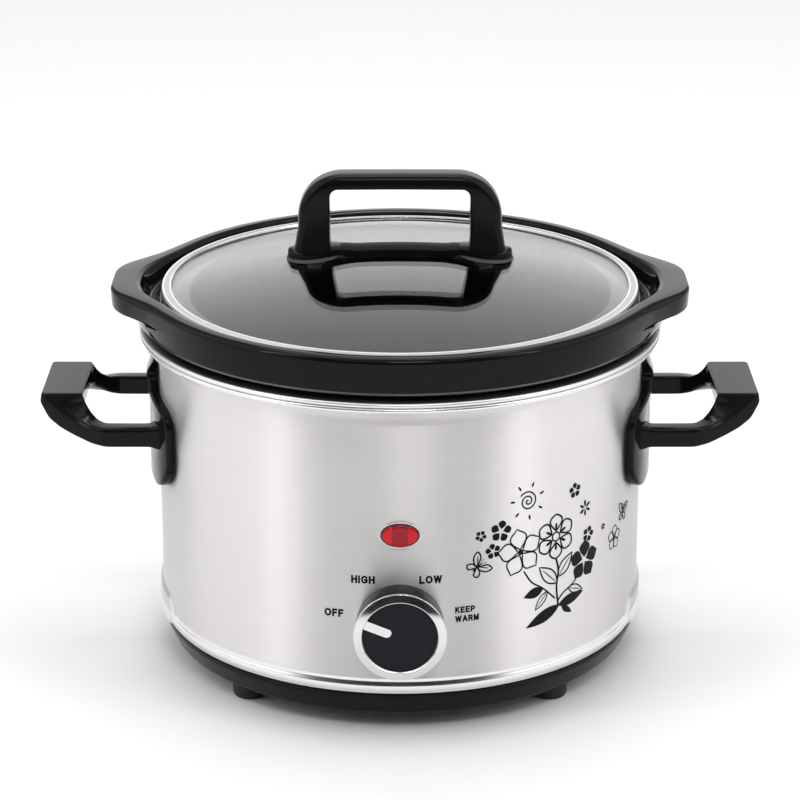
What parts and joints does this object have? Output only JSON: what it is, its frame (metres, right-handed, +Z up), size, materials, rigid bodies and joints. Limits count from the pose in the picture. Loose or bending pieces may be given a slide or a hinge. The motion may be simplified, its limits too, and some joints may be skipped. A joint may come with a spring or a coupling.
{
  "type": "slow cooker",
  "caption": "Round countertop slow cooker with a steel body, lift-out stoneware crock, domed glass lid, side carrying handles and a rotary heat switch.",
  "frame": {"origin": "on the pot's axis, at the plane that the feet stand on; the knob in front and the cord gland behind reach out about equally, so this is also the middle of the bottom of the bounding box", "axes": "+Z up along the pot's axis, -Y towards the knob at the front, +X towards the right-hand side handle as seen from the front"},
  "size_m": [0.362, 0.2817, 0.25],
  "materials": {
    "polished_steel": "polished satin stainless steel",
    "well_metal": "spun, bright",
    "base_plastic": "semi-gloss black heat-resistant plastic",
    "foot_rubber": "matt black rubber",
    "zinc_steel": "zinc-plated steel",
    "mica_band": "mica sheet round a resistance winding",
    "glass_fibre": "needled glass-fibre felt",
    "white_ceramic": "unglazed white ceramic",
    "switch_plastic": "brown phenolic",
    "brass": "plain brass",
    "red_lens": "clear red acrylic",
    "bright_trim": "bright plated",
    "lamp_glass": "clear lamp glass",
    "wire_sleeve": "silicone-sleeved wire",
    "gloss_black": "gloss black phenolic",
    "black_glaze": "glossy black glaze on stoneware",
    "lid_glass": "clear tempered glass",
    "knob_black": "gloss black inlay"
  },
  "bodies": {
    "base": {"outer_shell": "polished_steel", "heating_well": "well_metal", "base_pan": "base_plastic", "feet": "foot_rubber", "tie_stud": "zinc_steel", "tie_washer": "zinc_steel", "tie_nut": "zinc_steel", "spacer_tubes": "zinc_steel", "heat_shield": "well_metal", "heater_band": "mica_band", "band_clamps": "zinc_steel", "clamp_screws": "zinc_steel", "clamp_nuts": "zinc_steel", "insulation_blanket": "glass_fibre", "thermal_fuse": "white_ceramic", "fuse_clip": "zinc_steel", "rotary_switch": "switch_plastic", "switch_terminals": "brass", "switch_washer": "zinc_steel", "switch_nut": "zinc_steel", "indicator_lens": "red_lens", "lens_bezel": "bright_trim", "lens_clip": "zinc_steel", "neon_lamp": "lamp_glass", "terminal_block": "white_ceramic", "terminal_screws": "brass", "internal_wires": "wire_sleeve", "earth_tab": "brass", "side_handle_left": "gloss_black", "side_handle_right": "gloss_black", "handle_screws": "zinc_steel", "cord_gland": "base_plastic", "gland_nut": "zinc_steel"},
    "crock": {"crock": "black_glaze"},
    "lid": {"lid_glass": "lid_glass", "lid_rim": "bright_trim", "lid_handle": "gloss_black", "lid_gaskets": "foot_rubber", "lid_washers": "zinc_steel", "lid_screws": "zinc_steel"},
    "knob": {"knob_body": "gloss_black", "knob_bezel": "bright_trim", "knob_face": "knob_black", "switch_shaft": "zinc_steel", "shaft_clip": "zinc_steel"}
  },
  "joints": [
    {"name": "crock_lift", "type": "slide", "parent": "base", "child": "crock", "axis": [0, 0, 1], "range_m": [0, 0.16]},
    {"name": "lid_lift", "type": "slide", "parent": "crock", "child": "lid", "axis": [0, 0, 1], "range_m": [0, 0.11]},
    {"name": "knob_turn", "type": "hinge", "parent": "base", "child": "knob", "pos_m": [0, -0.13, 0.06], "axis": [0, 1, 0], "range_deg": [0, 135]}
  ]
}
